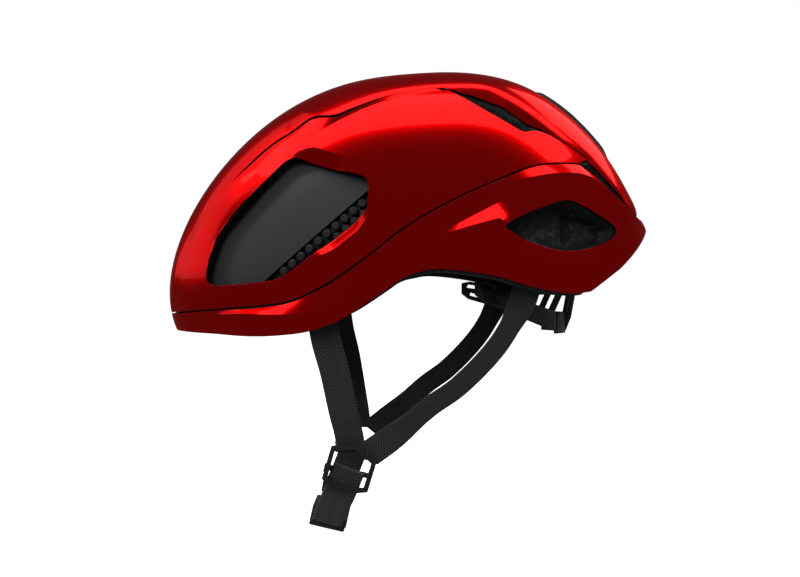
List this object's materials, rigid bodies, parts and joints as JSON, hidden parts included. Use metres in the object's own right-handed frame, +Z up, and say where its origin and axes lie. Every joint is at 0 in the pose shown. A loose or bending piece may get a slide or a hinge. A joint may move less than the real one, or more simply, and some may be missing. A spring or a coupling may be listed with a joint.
{
  "type": "cycling helmet",
  "caption": "Aero road-cycling helmet with foam liner, vented glossy skins, webbing harness with side-release buckle, and a height-adjustable cradle tightened by a scroll wheel.",
  "frame": {"origin": "on the head's vertical axis at headband level, inside the head space", "axes": "+Z up, -Y towards the brow, +Y towards the tail, +X towards the wearer's left"},
  "size_m": [0.208, 0.2793, 0.2715],
  "materials": {
    "shell_red": "glossy candy red",
    "foam_black": "matt beaded foam",
    "panel_black": "satin black",
    "plastic_black": "fine-grained black nylon",
    "webbing_black": "woven polyester webbing",
    "pad_black": "knitted wicking cover over foam",
    "hook_black": "hook fastener",
    "steel": "bright steel",
    "rubber_black": "matt rubber"
  },
  "bodies": {
    "helmet": {"liner": "foam_black", "spine_cover": "shell_red", "side_panel_left": "shell_red", "side_panel_right": "shell_red", "lower_shell": "shell_red", "rear_cover": "panel_black", "duct_panel_left": "panel_black", "duct_panel_right": "panel_black", "block_strip_left": "foam_black", "block_strip_right": "foam_black", "brow_pad": "pad_black", "brow_hook": "hook_black", "crown_pad": "pad_black", "crown_hook": "hook_black", "side_pad_left": "pad_black", "side_pad_right": "pad_black", "side_hook_left": "hook_black", "side_hook_right": "hook_black", "front_anchor_left": "plastic_black", "front_anchor_right": "plastic_black", "rear_anchor_left": "plastic_black", "rear_anchor_right": "plastic_black", "front_strap_left": "webbing_black", "front_strap_right": "webbing_black", "rear_strap_left": "webbing_black", "rear_strap_right": "webbing_black", "chin_strap_left": "webbing_black", "chin_strap_right": "webbing_black", "divider_left": "plastic_black", "divider_right": "plastic_black", "strap_tail": "webbing_black", "buckle_socket": "plastic_black", "front_band": "plastic_black", "band_rivet_left": "plastic_black", "band_rivet_right": "plastic_black", "height_rack": "plastic_black", "rack_screw_left": "steel", "rack_screw_right": "steel", "scroll_bracket": "plastic_black", "scroll_axle": "steel"},
    "buckle_plug": {"buckle_plug": "plastic_black"},
    "prong_rear": {"prong_rear": "plastic_black"},
    "prong_front": {"prong_front": "plastic_black"},
    "strap_keeper": {"strap_keeper": "rubber_black"},
    "cradle": {"cradle_frame": "plastic_black", "cradle_pad": "pad_black"},
    "cradle_arm_left": {"cradle_arm_left": "plastic_black"},
    "cradle_arm_right": {"cradle_arm_right": "plastic_black"},
    "scroll_wheel": {"scroll_wheel": "rubber_black"},
    "belt_left": {"belt_left": "plastic_black"},
    "belt_right": {"belt_right": "plastic_black"}
  },
  "joints": [
    {"name": "buckle_release", "type": "slide", "parent": "helmet", "child": "buckle_plug", "axis": [1, 0, 0], "range_m": [0, 0.03], "deforming": ["chin_strap_left"]},
    {"name": "prong_rear_squeeze", "type": "hinge", "parent": "buckle_plug", "child": "prong_rear", "pos_m": [0.0098, -0.0359, -0.1369], "axis": [0, 0.225, 0.9744], "range_deg": [0, 7], "stiffness_Nm_per_rad": 0.05},
    {"name": "prong_front_squeeze", "type": "hinge", "parent": "buckle_plug", "child": "prong_front", "pos_m": [0.0098, -0.0481, -0.1341], "axis": [0, -0.225, -0.9744], "range_deg": [0, 7]},
    {"name": "keeper_slide", "type": "slide", "parent": "helmet", "child": "strap_keeper", "axis": [-0.7743, 0.2265, 0.5909], "range_m": [-0.003, 0.003]},
    {"name": "cradle_height", "type": "slide", "parent": "helmet", "child": "cradle", "axis": [0, 0, 1], "range_m": [-0.016, 0.004]},
    {"name": "cradle_arm_left_flex", "type": "hinge", "parent": "cradle", "child": "cradle_arm_left", "pos_m": [0.0306, 0.0895, -0.019], "axis": [0, 0, -1], "range_deg": [0, 8]},
    {"name": "cradle_arm_right_flex", "type": "hinge", "parent": "cradle", "child": "cradle_arm_right", "pos_m": [-0.0306, 0.0895, -0.019], "axis": [0, 0, 1], "range_deg": [0, 8]},
    {"name": "scroll_turn", "type": "hinge", "parent": "helmet", "child": "scroll_wheel", "pos_m": [0, 0.122, 0.025], "axis": [1, 0, 0], "range_deg": [0, 270]},
    {"name": "belt_left_pull", "type": "slide", "parent": "helmet", "child": "belt_left", "axis": [-1, 0, 0], "range_m": [0, 0.01]},
    {"name": "belt_right_pull", "type": "slide", "parent": "helmet", "child": "belt_right", "axis": [1, 0, 0], "range_m": [0, 0.01]}
  ],
  "couplings": [
    {"joint": "prong_front_squeeze", "follows": "prong_rear_squeeze", "ratio": 1},
    {"joint": "belt_right_pull", "follows": "belt_left_pull", "ratio": 1},
    {"joint": "scroll_turn", "follows": "belt_left_pull", "rad_per_m": 470},
    {"joint": "cradle_arm_left_flex", "follows": "belt_left_pull", "rad_per_m": 13.9},
    {"joint": "cradle_arm_right_flex", "follows": "belt_left_pull", "rad_per_m": 13.9}
  ]
}
